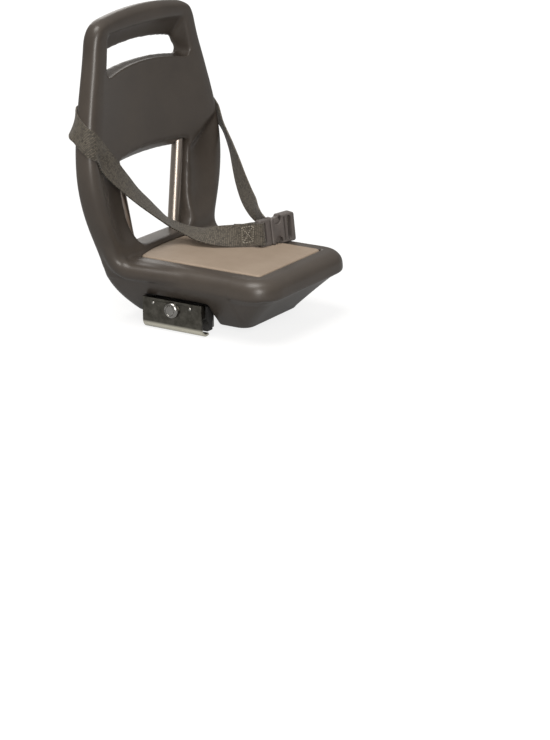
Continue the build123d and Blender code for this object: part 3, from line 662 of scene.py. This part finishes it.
# Each station has the belt's middle, the way its upper edge points, and how hard it is drawn
# onto the shell there
belt_stations = (
    ((0.0127, 0.0216, 0.0808), (-0.12, 0.18, 0.98), 0),
    ((0.0182, 0.0243, 0.0811), (-0.08, 0.12, 0.99), 0),
    ((0.0231, 0.0266, 0.0815), (-0.04, 0.06, 1), 0),
    (at_buckle(-5.2, -6.8), buckle_rise, 0),
    (at_buckle(-1.5, -5.4), buckle_rise, 0),
    (at_buckle(2.5, -5.1), buckle_rise, 0),
    (at_buckle(5.5, -3.7), buckle_rise, 0),
    (at_buckle(6.6, 0), buckle_rise, 0),
    (at_buckle(5.5, 3.7), buckle_rise, 0),
    (at_buckle(2.5, 5.1), buckle_rise, 0),
    (at_buckle(-0.6, 4.9), buckle_rise, 0),
    (at_buckle(-3.5, 1.4), buckle_rise, 0),
    (at_buckle(-7.2, -5), buckle_rise, 0),
    ((0.0240, 0.0250, 0.0813), (-0.05, 0.08, 1), 0),
    ((0.0165, 0.0212, 0.0806), (-0.12, 0.18, 0.98), 0),
    ((0.0075, 0.0168, 0.0800), (-0.22, 0.40, 0.89), 0),
    ((-0.0065, 0.0110, 0.0795), (-0.27, 0.66, 0.70), 0),
    ((-0.0200, 0.0078, 0.0795), (-0.17, 0.88, 0.45), 0),
    ((-0.0335, 0.0080, 0.0802), (-0.12, 0.97, 0.20), 0),
    ((-0.0450, 0.0062, 0.0822), (-0.34, 0.93, 0.12), 0),
    ((-0.0530, 0.0014, 0.0860), (-0.62, 0.77, 0.17), 0),
    ((-0.0582, -0.0062, 0.0914), (-0.75, 0.58, 0.32), 0),
    ((-0.0616, -0.0180, 0.1016), (-0.72, 0.52, 0.46), 0),
    ((-0.0641, -0.0350, 0.1154), (-0.63, 0.55, 0.55), 0),
    ((-0.0672, -0.0538, 0.1308), (-0.52, 0.61, 0.60), 0),
    ((-0.0700, -0.0710, 0.1469), (-0.32, 0.69, 0.65), 0),
    ((-0.0727, -0.0866, 0.1622), (-0.12, 0.73, 0.67), 0),
    ((-0.0750, -0.0990, 0.1762), (0.08, 0.71, 0.69), 0.1),
    ((-0.0772, -0.1100, 0.1890), (0.17, 0.72, 0.67), 0.5),
    ((-0.0800, -0.1188, 0.1988), (0.30, 0.75, 0.58), 1),
    ((-0.0852, -0.1240, 0.2062), (0.48, 0.55, 0.68), 1),
    ((-0.0915, -0.1264, 0.2118), (0.58, 0.26, 0.77), 0.7),
    ((-0.0978, -0.1266, 0.2168), (0.68, 0.18, 0.71), 0),
    ((-0.1042, -0.1222, 0.2212), (0.58, 0.02, 0.81), 0),
    ((-0.1088, -0.1158, 0.2248), (0.36, -0.08, 0.93), 0),
    ((-0.1100, -0.1070, 0.2280), (0.08, 0, 1), 0),
    ((-0.1082, -0.0930, 0.2314), leaning, 0),
    ((-0.1085, -0.0300, 0.2394), leaning, 0),
    ((-0.1085, 0.0300, 0.2394), leaning, 0),
    ((-0.1082, 0.0930, 0.2314), leaning, 0),
    ((-0.1098, 0.1075, 0.2275), (0.08, 0, 1), 0),
    ((-0.1070, 0.1180, 0.2222), (0.30, -0.1, 0.95), 0.5),
    ((-0.1005, 0.1262, 0.2130), (0.50, -0.15, 0.85), 0.8),
    ((-0.0930, 0.1295, 0.2030), (0.50, -0.15, 0.85), 0.5),
    ((-0.0850, 0.1320, 0.1935), (0.42, -0.40, 0.80), 0),
    ((-0.0760, 0.1300, 0.1835), (0.36, -0.56, 0.73), 0),
    ((-0.0669, 0.1240, 0.1747), (0.35, -0.62, 0.70), 0),
    ((-0.0513, 0.1141, 0.1579), (0.48, -0.56, 0.67), 0),
    ((-0.0385, 0.1059, 0.1394), (0.65, -0.43, 0.63), 0),
    ((-0.0281, 0.0993, 0.1239), (0.68, -0.29, 0.68), 0),
    ((-0.0149, 0.0908, 0.1093), (0.60, -0.15, 0.78), 0),
    ((-0.0015, 0.0823, 0.0997), (0.45, -0.13, 0.88), 0),
    ((0.0106, 0.0745, 0.0930), (0.30, -0.35, 0.89), 0),
    ((0.0210, 0.0680, 0.0880), (0.45, -0.55, 0.70), 0),
    ((0.0295, 0.0640, 0.0842), (0.38, -0.44, 0.81), 0),
    ((0.0365, 0.0650, 0.0829), (0.1, -0.1, 0.99), 0),
    (at_buckle(34.4, -8.2), buckle_rise, 0),
    (at_buckle(40.5, -7.0), buckle_rise, 0),
    (at_buckle(43.4, -5.2), buckle_rise, 0),
    (at_buckle(43.9, -1.5), buckle_rise, 0),
    (at_buckle(43.9, 1.6), buckle_rise, 0),
)
loop_top = 10
first_on_column = 26
last_on_column = 46


def between(values, step):
    """A smooth line through the given vectors, with step points to each stretch."""
    line = []
    for index in range(len(values) - 1):
        before = values[max(index - 1, 0)]
        here, there = values[index], values[index + 1]
        after = values[min(index + 2, len(values) - 1)]
        for count in range(step):
            t = count / step
            line.append(
                0.5 * (2 * here + (there - before) * t
                       + (2 * before - 5 * here + 4 * there - after) * t * t
                       + (3 * here - before - 3 * there + after) * t**3)
            )
    return line + [values[-1]]


belt_line = between([Vector(place) for place, _, _ in belt_stations], belt_steps)
belt_edges = between([Vector(edge).normalized() for _, edge, _ in belt_stations], belt_steps)
belt_rows = []
for index, place in enumerate(belt_line):
    way = belt_line[min(index + 1, len(belt_line) - 1)] - belt_line[max(index - 1, 0)]
    edge = (belt_edges[index] - belt_edges[index].project(way)).normalized()
    belt_rows.append(
        [place + edge * belt_width * (column / across - 0.5) for column in range(across + 1)]
    )

# The webbing is drawn onto the two columns, and pressed out wherever it would enter the shell
shell_surface = BVHTree.FromObject(shell, bpy.context.evaluated_depsgraph_get())


def press_out(point, pull):
    """Where a point of the belt lies once it is out of the shell, or drawn onto it by a pull."""
    place, normal, _, distance = shell_surface.find_nearest(point)
    held = place + normal * belt_clearance
    if (point - place).dot(normal) < belt_clearance and distance < belt_reach:
        return held
    if distance < belt_pull_reach:
        return point.lerp(held, pull)
    return point


def hold_at(index):
    """How hard the belt is drawn onto the shell at one of its rows."""
    low, share = divmod(index, belt_steps)
    high = min(low + 1, len(belt_stations) - 1)
    start = belt_stations[low][2]
    return start + (belt_stations[high][2] - start) * share / belt_steps


for pull in (1.0, 0.5, 0.0, 0.0):
    for index, row in enumerate(belt_rows):
        row[:] = [press_out(point, hold_at(index) * pull) for point in row]
    if pull < 1.0:
        belt_smoothed = [row[:] for row in belt_rows]
        for index in range(first_on_column * belt_steps, last_on_column * belt_steps):
            for column in range(across + 1):
                ends = belt_rows[index - 1][column] + belt_rows[index + 1][column]
                belt_smoothed[index][column] = 0.5 * belt_rows[index][column] + 0.25 * ends
        belt_rows = belt_smoothed
belt_rows = [[press_out(point, 0.0) for point in row] for row in belt_rows]

belt_mesh = bmesh.new()
belt_uv = belt_mesh.loops.layers.uv.new("webbing")
belt_runs = [0.0]
for low, high in zip(belt_rows, belt_rows[1:]):
    belt_runs.append(belt_runs[-1] + (high[across // 2] - low[across // 2]).length)
belt_points = [[belt_mesh.verts.new(point) for point in row] for row in belt_rows]
for index in range(len(belt_points) - 1):
    low, high = belt_points[index], belt_points[index + 1]
    for column in range(across):
        face = belt_mesh.faces.new((low[column], low[column + 1], high[column + 1], high[column]))
        corners = ((column, 0), (column + 1, 0), (column + 1, 1), (column, 1))
        for loop, (u, v) in zip(face.loops, corners):
            loop[belt_uv].uv = (u / across * belt_width, belt_runs[index + v])
belt_data = bpy.data.meshes.new("lap_belt_webbing")
belt_mesh.to_mesh(belt_data)
belt_mesh.free()
belt = bpy.data.objects.new("lap_belt_webbing", belt_data)
scene.collection.objects.link(belt)
bpy.ops.object.select_all(action="DESELECT")
bpy.context.view_layer.objects.active = belt
belt.select_set(True)
apply_modifier(belt, "SOLIDIFY", thickness=belt_thickness, offset=0.0)
bpy.ops.object.shade_smooth_by_angle(angle=math.radians(50))

webbing, webbing_tree = new_finish("woven_webbing", {"Roughness": 0.75, "Sheen Weight": 0.15})
webbing_place = add_node(webbing_tree, "ShaderNodeUVMap", uv_map="webbing").outputs["UV"]
webbing_ribs = add_node(
    webbing_tree, "ShaderNodeMapping", {"Vector": webbing_place, "Scale": (760.0, 330.0, 1.0)},
)
webbing_weave = add_node(
    webbing_tree, "ShaderNodeTexBrick",
    {"Vector": webbing_ribs.outputs["Vector"], "Scale": 1.0, "Brick Width": 1.2, "Row Height": 0.7,
     "Color1": (0.9, 0.9, 0.9, 1), "Color2": (0.55, 0.55, 0.55, 1), "Mortar": (0.05, 0.05, 0.05, 1),
     "Mortar Size": 0.08, "Mortar Smooth": 0.6},
)
webbing_cloud = add_cloud(webbing_tree, webbing_place, 420.0, 3.0, 0.6)
webbing_mix = add_node(
    webbing_tree, "ShaderNodeMix",
    {"Factor": 0.45, "A": webbing_weave.outputs["Color"], "B": webbing_cloud},
)
colour_by(
    webbing_tree, webbing_mix.outputs["Result"],
    (0.020, 0.017, 0.013), (0.118, 0.102, 0.079), 0.44, 0.66,
)
grain_by(webbing_tree, webbing_weave.outputs["Color"], 0.5, 0.0004)
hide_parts("lap_belt")
dress(belt, webbing)

# Stitching: a box with a cross in pale polyester thread, sewn by machine through both layers of
# the belt beside the plug.
stitch_pitch = 0.0026
stitch_radius = 0.0006
stitch_lift = 0.0001
stitch_start, stitch_end = 0.12, 0.88
stitch_box = ((0.009, -0.009), (0.022, -0.009), (0.022, 0.009), (0.009, 0.009))


def on_belt(run, aside):
    """A place on the webbing's outer face, by its run from the loop and its place across."""
    target = belt_runs[loop_top * belt_steps] + run
    index = next(number for number, value in enumerate(belt_runs) if value >= target)
    low, high = belt_rows[index - 1], belt_rows[index]
    share = (target - belt_runs[index - 1]) / (belt_runs[index] - belt_runs[index - 1])
    middle = low[across // 2].lerp(high[across // 2], share)
    edge = (high[across] - high[0]).normalized()
    outward = edge.cross(high[across // 2] - low[across // 2]).normalized()
    return middle + edge * aside + outward * (belt_thickness / 2 + stitch_lift)


stitch_lines = [(stitch_box[index - 1], stitch_box[index]) for index in range(4)]
stitch_lines += [(stitch_box[0], stitch_box[2]), (stitch_box[1], stitch_box[3])]
stitch_mesh = bmesh.new()
for (run_a, aside_a), (run_b, aside_b) in stitch_lines:
    count = round(math.hypot(run_b - run_a, aside_b - aside_a) / stitch_pitch)
    for number in range(count):
        tail, head = (number + stitch_start) / count, (number + stitch_end) / count
        start = on_belt(run_a + (run_b - run_a) * tail, aside_a + (aside_b - aside_a) * tail)
        end = on_belt(run_a + (run_b - run_a) * head, aside_a + (aside_b - aside_a) * head)
        turn = (end - start).to_track_quat("Z", "Y").to_matrix().to_4x4()
        turn.translation = (start + end) / 2
        made = bmesh.ops.create_uvsphere(stitch_mesh, u_segments=8, v_segments=6, radius=1.0)
        for vertex in made["verts"]:
            x, y, z = vertex.co
            vertex.co = turn @ Vector(
                (x * stitch_radius, y * stitch_radius, z * (end - start).length / 2)
            )
stitch_data = bpy.data.meshes.new("belt_stitching")
stitch_mesh.to_mesh(stitch_data)
stitch_mesh.free()
stitching = bpy.data.objects.new("belt_stitching", stitch_data)
scene.collection.objects.link(stitching)
for face in stitch_data.polygons:
    face.use_smooth = True
thread, thread_tree = new_finish("pale_thread", {"Roughness": 0.7})
thread_cloud = add_cloud(thread_tree, own_place(thread_tree), 900.0, 2.0)
colour_by(thread_tree, thread_cloud, (0.17, 0.155, 0.125), (0.34, 0.31, 0.26))
dress(stitching, thread)
